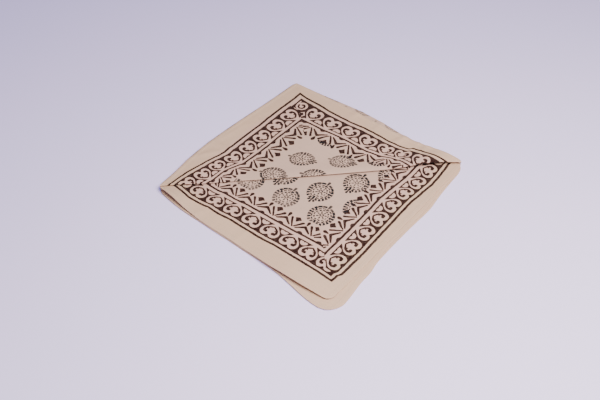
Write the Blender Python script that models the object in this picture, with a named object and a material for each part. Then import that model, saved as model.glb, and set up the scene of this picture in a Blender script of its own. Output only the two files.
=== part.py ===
"""A square block-printed cotton cloth, folded in quarters and laid flat.

The cloth is first folded in half, then in half again at right angles, with its printed side inwards. The
free corner of the top layer is then turned back along the diagonal onto the corner where the two folds
meet, so its printed side shows above the diagonal and the printed side of the second layer shows below it.

The folded square has its left corner at (0, 0): x runs along the open side from the left corner to the
near corner, y along the second fold from the left corner to the far corner. Lengths are in metres, +Z up.
The finished cloth is moved so that its origin is under the middle of its box.
"""

import math

import bmesh
import bpy

# The cloth and its folds
SIDE = 0.295  # side of the folded square, so the flat cloth is about twice this
THICKNESS = 0.0010
GAP = 0.0005
PITCH = THICKNESS + GAP
FIRST_FOLD_RADIUS = PITCH / 2  # joins layers 1 and 2, and layers 3 and 4, on the far right side
SECOND_FOLD_RADIUS = PITCH  # wraps that pair round, so it joins 2 with 3 and 1 with 4, on the far left
CORNER_FOLD_RADIUS = PITCH / 2  # the diagonal along which the top layer is turned back
FIRST_FOLD_LENGTH = math.pi * FIRST_FOLD_RADIUS
SECOND_FOLD_LENGTH = math.pi * SECOND_FOLD_RADIUS
CORNER_FOLD_LENGTH = math.pi * CORNER_FOLD_RADIUS

# The lines of points on each layer, close together near the edges and even between them
EDGE_LINES = (0.0, 0.002, 0.005, 0.010)
UPPER_LINES = 20  # cells between the edge lines of layers 1 and 2
LOWER_LINES = 5  # the same on layers 3 and 4, which lie flat
FOLD_STEPS = 6

# Storeys are counted from the surface the cloth lies on: layers 4, 3, 2, 1 and the turned-back corner
LAYER_4, LAYER_3, LAYER_2, LAYER_1, TURNED_BACK = range(5)

# Radius to which each corner is rounded
ROUND_COLUMNS = ("left", "near", "right", "far")
ROUND = {
    LAYER_4: (0.012, 0.019, 0.022, 0.009),
    LAYER_3: (0.012, 0.017, 0.020, 0.009),
    LAYER_2: (0.011, 0.010, 0.011, 0.009),
    LAYER_1: (0.011, 0.010, 0.010, 0.009),
    TURNED_BACK: (0.011, 0.010, 0.010, 0.009),
}

# Soft swells: the middle, the reach along and across, the turn in degrees, the height, and the lowest
# storey that it lifts. Every storey above is lifted too, so the layers never meet.
SWELL_COLUMNS = ("x", "y", "along", "across", "turn", "height", "storey")
SWELLS = (
    (0.042, 0.002, 0.030, 0.030, 0, 0.0050, LAYER_2),  # the mouth of the inner fold at the left corner
    (0.026, 0.070, 0.040, 0.022, 90, 0.0018, LAYER_1),  # the turned-back corner above it
    (0.238, -0.002, 0.048, 0.024, -3, 0.0048, LAYER_2),  # the open edge that stands up by the near corner
    (0.256, 0.268, 0.036, 0.020, 55, 0.0062, LAYER_1),  # the fat end of the diagonal fold
    (0.150, 0.165, 0.120, 0.016, 45, 0.0008, LAYER_1),  # the roll of the diagonal fold
    (0.014, 0.280, 0.040, 0.040, 0, 0.0010, LAYER_3),  # the thick corner where the two folds meet
    (0.215, 0.075, 0.050, 0.035, 20, 0.0012, LAYER_2),
    (0.110, 0.040, 0.035, 0.045, 0, 0.0009, LAYER_2),
    (0.095, 0.215, 0.050, 0.035, 30, 0.0012, LAYER_1),
)

# The four edges in plan, with their outward directions
FRONT_LEFT, FRONT_RIGHT, BACK_RIGHT, BACK_LEFT = (0, -1), (1, 0), (0, 1), (-1, 0)

# Where an edge bows: the middle and the reach of the bow along it, how far out it goes (in where this is
# negative), and the lowest and highest storeys that it moves
BOW_COLUMNS = ("edge", "middle", "reach", "out", "lowest", "highest")
BOWS = (
    (FRONT_LEFT, 0.000, 0.060, -0.0065, LAYER_4, TURNED_BACK),
    (FRONT_LEFT, 0.200, 0.090, 0.0015, LAYER_4, TURNED_BACK),
    (FRONT_LEFT, 0.238, 0.050, 0.0025, LAYER_2, LAYER_2),
    (FRONT_LEFT, 0.045, 0.030, 0.0020, LAYER_4, LAYER_3),
    (FRONT_LEFT, 0.276, 0.045, 0.0125, LAYER_4, LAYER_3),
    (FRONT_RIGHT, 0.012, 0.050, 0.0095, LAYER_4, LAYER_3),
    (FRONT_RIGHT, 0.150, 0.100, 0.0030, LAYER_4, LAYER_4),
    (FRONT_RIGHT, 0.150, 0.100, 0.0010, LAYER_3, LAYER_3),
    (FRONT_RIGHT, 0.100, 0.160, -0.0040, LAYER_2, TURNED_BACK),
    (FRONT_RIGHT, 0.285, 0.080, -0.0055, LAYER_2, TURNED_BACK),
    (FRONT_RIGHT, 0.285, 0.070, -0.0030, LAYER_4, LAYER_3),
    (BACK_RIGHT, 0.000, 0.060, -0.0020, LAYER_4, TURNED_BACK),
    (BACK_RIGHT, 0.115, 0.050, 0.0028, LAYER_4, LAYER_1),
    (BACK_RIGHT, 0.208, 0.038, -0.0050, LAYER_4, TURNED_BACK),
    (BACK_RIGHT, 0.150, 0.055, -0.0040, TURNED_BACK, TURNED_BACK),
    (BACK_RIGHT, 0.295, 0.045, -0.0030, LAYER_4, TURNED_BACK),
    (BACK_LEFT, 0.000, 0.068, -0.0130, LAYER_4, TURNED_BACK),
    (BACK_LEFT, 0.290, 0.100, -0.0055, LAYER_4, TURNED_BACK),
)

# The diagonal fold bows towards the near corner
DIAGONAL_BOW_MIDDLE = 0.150
DIAGONAL_BOW_REACH = 0.090
DIAGONAL_BOW_WIDTH = 0.060
DIAGONAL_BOW_OUT = 0.0022

COTTON_COLOUR = (0.66, 0.55, 0.43, 1.0)
COTTON_ROUGHNESS = 0.9


def row(columns, values):
    return dict(zip(columns, values))


def lines_between_folds(cells):
    """Distances from a fold to the open edge, the same from either end."""
    first, last = EDGE_LINES[-1], SIDE - EDGE_LINES[-1]
    middle = [first + (last - first) * n / cells for n in range(1, cells)]
    return [*EDGE_LINES, *middle, *(SIDE - d for d in reversed(EDGE_LINES))]


def fold_lines(length):
    """Distances through a fold, from its upper layer, with the upper layer's edge of it left out."""
    return [length * n / FOLD_STEPS for n in range(1, FOLD_STEPS + 1)]


def score(cloth, point, direction):
    """Cuts the flat cloth's faces along the line through point, square to direction."""
    bmesh.ops.bisect_plane(
        cloth, geom=cloth.verts[:] + cloth.edges[:] + cloth.faces[:], dist=1e-7, plane_co=point, plane_no=direction
    )


def flat_cloth():
    """The cloth laid out flat, with u along x and v along y, scored along every line, and its thickness."""
    cloth = bmesh.new()
    low = (-SIDE - SECOND_FOLD_LENGTH, -SIDE - FIRST_FOLD_LENGTH)
    corners = [(low[0], low[1]), (SIDE, low[1]), (SIDE, SIDE), (low[0], SIDE)]
    cloth.faces.new([cloth.verts.new((u, v, -THICKNESS / 2)) for u, v in corners])
    upper, lower = lines_between_folds(UPPER_LINES), lines_between_folds(LOWER_LINES)
    for u in upper[:-1]:
        score(cloth, (u, 0, 0), (1, 0, 0))
    for u in [*fold_lines(SECOND_FOLD_LENGTH), *(SECOND_FOLD_LENGTH + d for d in lower[1:-1])]:
        score(cloth, (-u, 0, 0), (1, 0, 0))
    for v in upper[:-1]:
        score(cloth, (0, v, 0), (0, 1, 0))
    for v in [*fold_lines(FIRST_FOLD_LENGTH), *(FIRST_FOLD_LENGTH + d for d in upper[1:-1])]:
        score(cloth, (0, -v, 0), (0, 1, 0))
    for past in [0.0, *fold_lines(CORNER_FOLD_LENGTH)]:
        on_line = (SIDE + past * math.sqrt(2)) / 2
        score(cloth, (on_line, on_line, 0), (1, 1, 0))
    made = bmesh.ops.extrude_face_region(cloth, geom=cloth.faces[:])
    top = [part for part in made["geom"] if isinstance(part, bmesh.types.BMVert)]
    bmesh.ops.translate(cloth, verts=top, vec=(0, 0, THICKNESS))
    bmesh.ops.recalc_face_normals(cloth, faces=cloth.faces[:])
    return cloth


def along_fold(distance, radius):
    """A sheet bent half round at distance 0: how far it runs past the fold, its height over the fold's
    middle, and the two parts of its upper side's direction."""
    length = math.pi * radius
    if distance >= 0:
        return distance, radius, (0.0, 1.0)
    if distance <= -length:
        return -distance - length, -radius, (0.0, -1.0)
    angle = -distance / radius
    return -radius * math.sin(angle), radius * math.cos(angle), (-math.sin(angle), math.cos(angle))


def folded(u, v, side):
    """Where a point of the flat cloth goes, side being its height over the middle of the flat cloth."""
    past_corner_fold = (u + v - SIDE) / math.sqrt(2)
    if u > 0 and v > 0 and past_corner_fold > 0:
        return turned_back(u, v, past_corner_fold, side)
    past, height, (out, up) = along_fold(v, FIRST_FOLD_RADIUS)
    y = SIDE - past - out * side
    height += up * side
    x, z, (out, up) = along_fold(u, SECOND_FOLD_RADIUS)
    return x + out * height, y, z + up * height


def turned_back(u, v, past, side):
    """The top layer's corner, turned up and back over the diagonal."""
    on_fold_x, on_fold_y = u - past / math.sqrt(2), SIDE - v + past / math.sqrt(2)
    angle = min(past / CORNER_FOLD_RADIUS, math.pi)
    across = CORNER_FOLD_RADIUS * math.sin(angle) - math.sin(angle) * side
    across -= max(past - CORNER_FOLD_LENGTH, 0.0)
    up = CORNER_FOLD_RADIUS * (1 - math.cos(angle)) + math.cos(angle) * side
    top_layer = SECOND_FOLD_RADIUS + FIRST_FOLD_RADIUS
    return on_fold_x + across / math.sqrt(2), on_fold_y - across / math.sqrt(2), top_layer + up


def storey_at(height):
    """The storey at a height in the stack: level through each layer's thickness, rising in the gaps."""
    layers = (height - THICKNESS / 2) / PITCH
    nearest = round(layers)
    within_layer = THICKNESS / 2 / PITCH
    beyond = abs(layers - nearest) - within_layer
    if beyond <= 0:
        return float(nearest)
    return nearest + math.copysign(beyond / (1 - 2 * within_layer), layers - nearest)


def at_storey(table, columns, storey):
    """A table's row at a storey, with the rows between storeys worked out."""
    storey = min(max(storey, LAYER_4), TURNED_BACK)
    below = min(int(storey), TURNED_BACK - 1)
    share = storey - below
    return {
        name: low + (high - low) * share for name, low, high in zip(columns, table[below], table[below + 1])
    }


def rounded(x, y, storey):
    """Draws the four corners in to quarter circles."""
    radii = at_storey(ROUND, ROUND_COLUMNS, storey)
    fold_depth = SECOND_FOLD_RADIUS + FIRST_FOLD_RADIUS + THICKNESS / 2
    low_x, high_x, low_y, high_y = -fold_depth, SIDE, 0.0, SIDE + FIRST_FOLD_RADIUS + THICKNESS / 2
    corners = (
        (radii["left"], low_x, -1, low_y, -1),
        (radii["near"], high_x, 1, low_y, -1),
        (radii["right"], high_x, 1, high_y, 1),
        (radii["far"], low_x, -1, high_y, 1),
    )
    for radius, corner_x, way_x, corner_y, way_y in corners:
        middle_x, middle_y = corner_x - way_x * radius, corner_y - way_y * radius
        a, b = (x - middle_x) * way_x / radius, (y - middle_y) * way_y / radius
        if a > 0 and b > 0:
            x = middle_x + way_x * radius * a * math.sqrt(1 - b * b / 2)
            y = middle_y + way_y * radius * b * math.sqrt(1 - a * a / 2)
    return x, y


def bell(distance, reach):
    return math.exp(-((distance / reach) ** 2))


def share_of(storey, lowest, highest):
    """1 from the lowest to the highest storey, down to 0 one storey beyond them."""
    return min(max(storey - lowest + 1, 0.0), max(highest + 1 - storey, 0.0), 1.0)


def spread(x, y, storey):
    """Moves a point in plan: rounded corners, bowed edges and the bowed diagonal fold."""
    x, y = rounded(x, y, storey)
    move_x = move_y = 0.0
    for values in BOWS:
        bow = row(BOW_COLUMNS, values)
        way_x, way_y = bow["edge"]
        along = y if way_x else x
        from_opposite = max(way_x, 0) * x + max(-way_x, 0) * (SIDE - x)
        from_opposite += max(way_y, 0) * y + max(-way_y, 0) * (SIDE - y)
        move = bow["out"] * bell(along - bow["middle"], bow["reach"])
        move *= share_of(storey, bow["lowest"], bow["highest"]) * min(max(from_opposite / SIDE, 0.0), 1.0) ** 4
        move_x += way_x * move
        move_y += way_y * move
    on_top_layer = share_of(storey, LAYER_1, TURNED_BACK)
    bow = bell((x + y) / 2 - DIAGONAL_BOW_MIDDLE, DIAGONAL_BOW_REACH) * bell(x - y, DIAGONAL_BOW_WIDTH)
    bow *= DIAGONAL_BOW_OUT * on_top_layer
    return x + move_x + bow, y + move_y - bow


def lifted(x, y, storey):
    """How far the swells lift a point of a storey."""
    lift = 0.0
    for values in SWELLS:
        swell = row(SWELL_COLUMNS, values)
        share = share_of(storey, swell["storey"], TURNED_BACK)
        turn = math.radians(swell["turn"])
        from_x, from_y = x - swell["x"], y - swell["y"]
        along = (from_x * math.cos(turn) + from_y * math.sin(turn)) / swell["along"]
        across = (from_y * math.cos(turn) - from_x * math.sin(turn)) / swell["across"]
        lift += share * swell["height"] * math.exp(-along * along - across * across)
    return lift


def settled(x, y, z):
    """A point of the evenly folded stack, moved to where the cloth really lies."""
    height = z + SECOND_FOLD_RADIUS + FIRST_FOLD_RADIUS + THICKNESS / 2
    storey = storey_at(height)
    x, y = spread(x, y, storey)
    return x, y, height + lifted(x, y, storey)


def split_across(cloth):
    """Cuts each four-sided face along the diagonal nearer to the direction of the diagonal fold, so that
    layers that lie on each other bend along the same lines."""
    for face in [f for f in cloth.faces if len(f.verts) == 4]:
        a, b, c, d = face.verts
        along_ac, along_bd = c.co - a.co, d.co - b.co
        favoured = abs(along_ac.x + along_ac.y) * along_bd.length > abs(along_bd.x + along_bd.y) * along_ac.length
        ends = (a, c) if favoured else (b, d)
        bmesh.utils.face_split(face, *ends)
    bmesh.ops.triangulate(cloth, faces=[f for f in cloth.faces if len(f.verts) > 3])


def fold(cloth):
    """Folds the flat cloth and lays its origin under the middle of its box."""
    for vert in cloth.verts:
        vert.co = settled(*folded(*vert.co))
    split_across(cloth)
    middle = [(min(v.co[axis] for v in cloth.verts) + max(v.co[axis] for v in cloth.verts)) / 2 for axis in (0, 1)]
    bmesh.ops.translate(cloth, verts=cloth.verts[:], vec=(-middle[0], -middle[1], 0))
    bmesh.ops.recalc_face_normals(cloth, faces=cloth.faces[:])


def cotton():
    material = bpy.data.materials.new("printed_cotton")
    material.use_nodes = True
    shader = material.node_tree.nodes["Principled BSDF"]
    shader.inputs["Base Color"].default_value = COTTON_COLOUR
    shader.inputs["Roughness"].default_value = COTTON_ROUGHNESS
    shader.inputs["Metallic"].default_value = 0.0
    return material


def clear_scene():
    for thing in list(bpy.data.objects):
        bpy.data.objects.remove(thing)


def main():
    clear_scene()
    cloth = flat_cloth()
    fold(cloth)
    mesh = bpy.data.meshes.new("cloth")
    cloth.to_mesh(mesh)
    cloth.free()
    mesh.materials.append(cotton())
    mesh.shade_smooth()
    mesh.set_sharp_from_angle(angle=math.radians(40))
    bpy.context.scene.collection.objects.link(bpy.data.objects.new("cloth", mesh))


main()
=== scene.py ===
import math

import bmesh
import bpy
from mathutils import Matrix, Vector, noise


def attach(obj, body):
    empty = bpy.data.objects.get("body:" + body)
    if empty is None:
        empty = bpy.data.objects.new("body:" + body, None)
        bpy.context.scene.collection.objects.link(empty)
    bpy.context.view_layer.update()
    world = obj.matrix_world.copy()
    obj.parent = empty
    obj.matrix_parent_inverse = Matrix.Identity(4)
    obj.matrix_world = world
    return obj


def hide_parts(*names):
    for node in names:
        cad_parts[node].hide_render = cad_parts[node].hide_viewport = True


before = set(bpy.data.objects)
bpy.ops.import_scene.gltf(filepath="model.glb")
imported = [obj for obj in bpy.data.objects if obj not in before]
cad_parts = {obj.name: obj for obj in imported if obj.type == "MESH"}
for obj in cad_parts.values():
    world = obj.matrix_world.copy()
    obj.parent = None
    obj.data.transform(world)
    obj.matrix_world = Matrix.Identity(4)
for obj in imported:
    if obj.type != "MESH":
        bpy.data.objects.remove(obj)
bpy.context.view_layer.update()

scene = bpy.context.scene


# The camera
# It looks down across the open edges of the cloth, from the photographer's place. Places on the cloth are
# measured from the left corner of the folded square, so the middle of the CAD box is taken from them.

BOX_MIDDLE = (0.15130, 0.14349)
CAMERA_AIM = (0.166, 0.104, 0.004)
CAMERA_AZIMUTH = math.radians(38.94)
CAMERA_ELEVATION = math.radians(43.72)
CAMERA_DISTANCE = 0.943
CAMERA_LENS = 45.54

towards_camera = Vector((
    math.sin(CAMERA_AZIMUTH) * math.cos(CAMERA_ELEVATION),
    -math.cos(CAMERA_AZIMUTH) * math.cos(CAMERA_ELEVATION),
    math.sin(CAMERA_ELEVATION),
))
camera_aim = Vector((CAMERA_AIM[0] - BOX_MIDDLE[0], CAMERA_AIM[1] - BOX_MIDDLE[1], CAMERA_AIM[2]))


def placed(name, data):
    """A new object of the scene, at the origin."""
    made = bpy.data.objects.new(name, data)
    scene.collection.objects.link(made)
    return made


camera = placed("camera", bpy.data.cameras.new("camera"))
camera.data.sensor_width = 36
camera.data.lens = CAMERA_LENS
camera.location = camera_aim + towards_camera * CAMERA_DISTANCE
camera.rotation_euler = (-towards_camera).to_track_quat("-Z", "Y").to_euler()
scene.camera = camera


# The cloth
# A square of thin cotton, its edges rolled into a narrow hem. It is folded in half and in half again, with
# the printed side inwards, and the top layer's free corner is turned back along the diagonal to show it.

SIDE = 0.295
PITCH = 0.0015  # from one layer to the next
CAD_THICKNESS = 0.0010
FIRST_FOLD_RADIUS = PITCH / 2
SECOND_FOLD_RADIUS = PITCH
CORNER_FOLD_RADIUS = PITCH / 2
FIRST_FOLD_LENGTH = math.pi * FIRST_FOLD_RADIUS
SECOND_FOLD_LENGTH = math.pi * SECOND_FOLD_RADIUS
CORNER_FOLD_LENGTH = math.pi * CORNER_FOLD_RADIUS
STACK_MIDDLE = SECOND_FOLD_RADIUS + FIRST_FOLD_RADIUS + CAD_THICKNESS / 2
LAYER_4, LAYER_3, LAYER_2, LAYER_1, TURNED_BACK = range(5)

COTTON_THICKNESS = 0.0004
HEM_THICKNESS = 0.00092
HEM_WIDTH = 0.0048
HEM_STEP = 0.0005  # the sheet thins to its own thickness over this, on each side of the hem's inner edge
RIM_WIDTH, RIM_SHARE = 0.0002, 0.28  # the outer edge is rounded: this share of the hem's thickness each way
HEM_LINES = (0.0, 0.0003, 0.0011, 0.0024, 0.0038, 0.0048, 0.0054, 0.0072)
FOLD_STEPS = 8
SHOWN_CELL = 0.0026  # the cells of the layers that show
HIDDEN_CELL = 0.0090  # and those of the two layers underneath, from left to right

# Radius of each corner: left, near, right and far
CORNER_RADII = {
    LAYER_4: (0.016, 0.019, 0.022, 0.009),
    LAYER_3: (0.016, 0.017, 0.020, 0.009),
    LAYER_2: (0.015, 0.010, 0.011, 0.009),
    LAYER_1: (0.015, 0.010, 0.010, 0.009),
    TURNED_BACK: (0.015, 0.010, 0.010, 0.009),
}

# Soft swells, troughs and creases: x, y, reach along, reach across, turn in degrees, height, lowest storey
SWELLS = (
    (0.042, 0.002, 0.030, 0.030, 0, 0.0050, LAYER_2),
    (0.026, 0.070, 0.040, 0.022, 90, 0.0018, LAYER_1),
    (0.238, -0.002, 0.048, 0.024, -3, 0.0048, LAYER_2),
    (0.256, 0.268, 0.036, 0.020, 55, 0.0062, LAYER_1),
    (0.185, 0.190, 0.110, 0.012, 45, 0.0020, LAYER_1),
    (0.014, 0.280, 0.040, 0.040, 0, 0.0010, LAYER_3),
    (0.215, 0.075, 0.050, 0.035, 20, 0.0012, LAYER_2),
    (0.110, 0.040, 0.035, 0.045, 0, 0.0009, LAYER_2),
    (0.095, 0.215, 0.050, 0.035, 30, 0.0012, LAYER_1),
)
CREASES = (
    (0.024, -0.002, 0.020, 0.0130, 6, 0.0042, LAYER_2),
    (0.200, 0.282, 0.020, 0.0050, 80, 0.0015, LAYER_1),
    (0.190, 0.250, 0.022, 0.0045, 72, 0.0009, LAYER_1),
    (0.236, 0.284, 0.018, 0.0040, 84, 0.0011, LAYER_1),
    (0.222, 0.290, 0.014, 0.0035, 92, 0.0008, LAYER_1),
    (0.022, 0.118, 0.024, 0.0050, 8, 0.0011, LAYER_1),
    (0.016, 0.090, 0.030, 0.0040, 60, 0.0010, LAYER_1),
    (0.010, 0.140, 0.036, 0.0035, 84, 0.0007, LAYER_1),
    (0.085, 0.010, 0.020, 0.0045, 70, 0.0008, LAYER_2),
    (0.150, 0.008, 0.016, 0.0040, 78, 0.0005, LAYER_2),
    (0.060, 0.020, 0.028, 0.0050, 35, 0.0005, LAYER_2),
    (0.288, 0.100, 0.018, 0.0045, 10, 0.0005, LAYER_2),
    (0.285, 0.180, 0.018, 0.0045, -14, 0.0005, LAYER_2),
    (0.262, 0.048, 0.030, 0.0050, -40, 0.0005, LAYER_2),
    (0.120, 0.288, 0.014, 0.0045, 76, 0.0011, LAYER_1),
    (0.160, 0.285, 0.016, 0.0040, 100, 0.0009, LAYER_1),
    (0.070, 0.175, 0.040, 0.0060, 40, 0.0003, LAYER_1),
    (0.180, 0.090, 0.045, 0.0060, 25, 0.0003, LAYER_2),
)

# Bowed edges: the edge's outward direction, middle, reach, how far out, lowest and highest storey
FRONT_LEFT, FRONT_RIGHT, BACK_RIGHT, BACK_LEFT = (0, -1), (1, 0), (0, 1), (-1, 0)
BOWS = (
    (FRONT_LEFT, 0.000, 0.060, -0.0065, LAYER_4, TURNED_BACK),
    (FRONT_LEFT, 0.200, 0.090, 0.0015, LAYER_4, TURNED_BACK),
    (FRONT_LEFT, 0.238, 0.050, 0.0025, LAYER_2, LAYER_2),
    (FRONT_LEFT, 0.045, 0.030, 0.0020, LAYER_4, LAYER_3),
    (FRONT_LEFT, 0.276, 0.045, 0.0125, LAYER_4, LAYER_3),
    (FRONT_RIGHT, 0.012, 0.050, 0.0095, LAYER_4, LAYER_3),
    (FRONT_RIGHT, 0.150, 0.100, 0.0030, LAYER_4, LAYER_4),
    (FRONT_RIGHT, 0.150, 0.100, 0.0010, LAYER_3, LAYER_3),
    (FRONT_RIGHT, 0.068, 0.013, 0.0022, LAYER_4, LAYER_3),
    (FRONT_RIGHT, 0.118, 0.020, -0.0018, LAYER_3, LAYER_3),
    (FRONT_RIGHT, 0.196, 0.024, 0.0020, LAYER_4, LAYER_4),
    (FRONT_RIGHT, 0.236, 0.020, -0.0016, LAYER_3, LAYER_3),
    (FRONT_RIGHT, 0.100, 0.160, -0.0040, LAYER_2, TURNED_BACK),
    (FRONT_RIGHT, 0.285, 0.080, -0.0055, LAYER_2, TURNED_BACK),
    (FRONT_RIGHT, 0.285, 0.070, -0.0030, LAYER_4, LAYER_3),
    (BACK_RIGHT, 0.000, 0.060, -0.0020, LAYER_4, TURNED_BACK),
    (BACK_RIGHT, 0.115, 0.050, 0.0028, LAYER_4, LAYER_1),
    (BACK_RIGHT, 0.208, 0.038, -0.0050, LAYER_4, TURNED_BACK),
    (BACK_RIGHT, 0.150, 0.055, -0.0040, TURNED_BACK, TURNED_BACK),
    (BACK_RIGHT, 0.295, 0.045, -0.0030, LAYER_4, TURNED_BACK),
    (BACK_LEFT, 0.000, 0.068, -0.0130, LAYER_4, TURNED_BACK),
    (BACK_LEFT, 0.290, 0.100, -0.0055, LAYER_4, TURNED_BACK),
)
BOW_FADE = 4  # the power of the distance from the opposite edge, which a bow fades towards
DIAGONAL_BOW_MIDDLE = 0.150
DIAGONAL_BOW_REACH = 0.090
DIAGONAL_BOW_WIDTH = 0.060
DIAGONAL_BOW_OUT = 0.0022

# A hem draws its edge up a little and lets it wander: how far, how far inwards, and how closely
PUCKER_HEIGHT = 0.00020
PUCKER_REACH = 0.014
PUCKER_SIZE = 0.011
WANDER = 0.0007
WANDER_REACH = 0.030
WANDER_SIZE = 0.034

LOW_U = -SIDE - SECOND_FOLD_LENGTH
LOW_V = -SIDE - FIRST_FOLD_LENGTH


def along_fold(distance, radius):
    """A sheet bent half round at distance 0: how far it runs past the fold, its height over the fold's
    middle, and the two parts of its upper side's direction."""
    length = math.pi * radius
    if distance >= 0:
        return distance, radius, (0.0, 1.0)
    if distance <= -length:
        return -distance - length, -radius, (0.0, -1.0)
    angle = -distance / radius
    return -radius * math.sin(angle), radius * math.cos(angle), (-math.sin(angle), math.cos(angle))


def turned_back(u, v, past, side):
    """The top layer's corner, turned up and back over the diagonal."""
    on_fold_x, on_fold_y = u - past / math.sqrt(2), SIDE - v + past / math.sqrt(2)
    angle = min(past / CORNER_FOLD_RADIUS, math.pi)
    across = CORNER_FOLD_RADIUS * math.sin(angle) - math.sin(angle) * side
    across -= max(past - CORNER_FOLD_LENGTH, 0.0)
    up = CORNER_FOLD_RADIUS * (1 - math.cos(angle)) + math.cos(angle) * side
    top_layer = SECOND_FOLD_RADIUS + FIRST_FOLD_RADIUS
    return on_fold_x + across / math.sqrt(2), on_fold_y - across / math.sqrt(2), top_layer + up


def folded(u, v, side):
    """Where a point of the flat cloth goes, side being its height over the middle of the flat cloth."""
    past_corner_fold = (u + v - SIDE) / math.sqrt(2)
    if u > 0 and v > 0 and past_corner_fold > 0:
        return turned_back(u, v, past_corner_fold, side)
    past, height, (out, up) = along_fold(v, FIRST_FOLD_RADIUS)
    y = SIDE - past - out * side
    height += up * side
    x, z, (out, up) = along_fold(u, SECOND_FOLD_RADIUS)
    return x + out * height, y, z + up * height


def storey_at(height):
    """The storey at a height in the stack: level through each layer's thickness, rising in the gaps."""
    layers = (height - CAD_THICKNESS / 2) / PITCH
    nearest = round(layers)
    within_layer = CAD_THICKNESS / 2 / PITCH
    beyond = abs(layers - nearest) - within_layer
    if beyond <= 0:
        return float(nearest)
    return nearest + math.copysign(beyond / (1 - 2 * within_layer), layers - nearest)


def rounded(x, y, storey):
    """Draws the four corners in to quarter circles."""
    storey = min(max(storey, LAYER_4), TURNED_BACK)
    below = min(int(storey), TURNED_BACK - 1)
    share = storey - below
    left, right = (-STACK_MIDDLE, -1), (SIDE, 1)
    near, far = (0.0, -1), (SIDE + FIRST_FOLD_RADIUS + CAD_THICKNESS / 2, 1)
    corners = ((left, near), (right, near), (right, far), (left, far))
    radii = zip(CORNER_RADII[below], CORNER_RADII[below + 1])
    for ((corner_x, way_x), (corner_y, way_y)), (lower, upper) in zip(corners, radii):
        radius = lower + (upper - lower) * share
        middle_x, middle_y = corner_x - way_x * radius, corner_y - way_y * radius
        a, b = (x - middle_x) * way_x / radius, (y - middle_y) * way_y / radius
        if a > 0 and b > 0:
            x = middle_x + way_x * radius * a * math.sqrt(1 - b * b / 2)
            y = middle_y + way_y * radius * b * math.sqrt(1 - a * a / 2)
    return x, y


def bell(distance, reach):
    return math.exp(-((distance / reach) ** 2))


def share_of(storey, lowest, highest):
    """1 from the lowest to the highest storey, down to 0 one storey beyond them."""
    return min(max(storey - lowest + 1, 0.0), max(highest + 1 - storey, 0.0), 1.0)


def spread(x, y, storey):
    """Moves a point in plan: rounded corners, bowed edges and the bowed diagonal fold."""
    x, y = rounded(x, y, storey)
    move_x = move_y = 0.0
    for (way_x, way_y), middle, reach, out, lowest, highest in BOWS:
        if not lowest - 1 < storey < highest + 1:
            continue
        along = y if way_x else x
        from_opposite = max(way_x, 0) * x + max(-way_x, 0) * (SIDE - x)
        from_opposite += max(way_y, 0) * y + max(-way_y, 0) * (SIDE - y)
        near_edge = min(max(from_opposite / SIDE, 0.0), 1.0) ** BOW_FADE
        move = out * bell(along - middle, reach) * share_of(storey, lowest, highest) * near_edge
        move_x += way_x * move
        move_y += way_y * move
    on_top_layer = share_of(storey, LAYER_1, TURNED_BACK)
    bow = bell((x + y) / 2 - DIAGONAL_BOW_MIDDLE, DIAGONAL_BOW_REACH) * bell(x - y, DIAGONAL_BOW_WIDTH)
    bow *= DIAGONAL_BOW_OUT * on_top_layer
    return x + move_x + bow, y + move_y - bow


def lifted(x, y, storey):
    """How far the swells and creases lift a point of a storey, and every storey above it."""
    lift = 0.0
    for middle_x, middle_y, reach_along, reach_across, turn, height, lowest in SWELLS + CREASES:
        if storey <= lowest - 1:
            continue
        from_x, from_y = x - middle_x, y - middle_y
        cosine, sine = math.cos(math.radians(turn)), math.sin(math.radians(turn))
        along = (from_x * cosine + from_y * sine) / reach_along
        across = (from_y * cosine - from_x * sine) / reach_across
        lift += share_of(storey, lowest, TURNED_BACK) * height * math.exp(-along * along - across * across)
    return lift


def from_free_edge(u, v):
    return min(u - LOW_U, SIDE - u, v - LOW_V, SIDE - v)


def drawn_by_hem(u, v):
    """How far a hem moves a point near it: along x, along y and up."""
    near = bell(max(from_free_edge(u, v), 0.0), PUCKER_REACH)
    pucker = noise.noise(Vector((u, v, 0.0)) / PUCKER_SIZE) * PUCKER_HEIGHT * near
    near = bell(max(from_free_edge(u, v), 0.0), WANDER_REACH)
    wander_x = noise.noise(Vector((u, v, 0.3)) / WANDER_SIZE) * WANDER * near
    wander_y = noise.noise(Vector((v, u, 0.7)) / WANDER_SIZE) * WANDER * near
    return wander_x, wander_y, pucker


def laid(u, v, side):
    """Where a point of the flat cloth really lies, in the frame of the CAD model."""
    x, y, z = folded(u, v, side)
    height = z + STACK_MIDDLE
    storey = storey_at(height)
    x, y = spread(x, y, storey)
    wander_x, wander_y, pucker = drawn_by_hem(u, v)
    height += lifted(x, y, storey) + pucker * min(storey, 1.0)
    return Vector((x + wander_x - BOX_MIDDLE[0], y + wander_y - BOX_MIDDLE[1], height))


def half_thickness(u, v):
    """Half the cloth's thickness: a thin sheet, with its edges rolled over twice."""
    distance = from_free_edge(u, v)
    if distance > HEM_WIDTH + HEM_STEP:
        return COTTON_THICKNESS / 2
    if distance > HEM_WIDTH - HEM_STEP:
        return (COTTON_THICKNESS + HEM_THICKNESS) / 4
    if distance < RIM_WIDTH:
        return HEM_THICKNESS * RIM_SHARE
    return HEM_THICKNESS / 2


def even_lines(first, last, cell):
    """Lines from first to last, neither of them included, about a cell apart."""
    count = max(round((last - first) / cell), 1)
    return [first + (last - first) * n / count for n in range(1, count)]


def grid_lines(low, fold_length, cell_below, cell_above):
    """The lines of one direction: hems at both ends, the fold's own lines, and even cells between."""
    hem = HEM_LINES[-1]
    lines = [low + d for d in HEM_LINES] + even_lines(low + hem, -fold_length, cell_below)
    lines += [-fold_length * (1 - n / FOLD_STEPS) for n in range(FOLD_STEPS + 1)]
    return lines + even_lines(0.0, SIDE - hem, cell_above) + [SIDE - d for d in reversed(HEM_LINES)]


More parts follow.
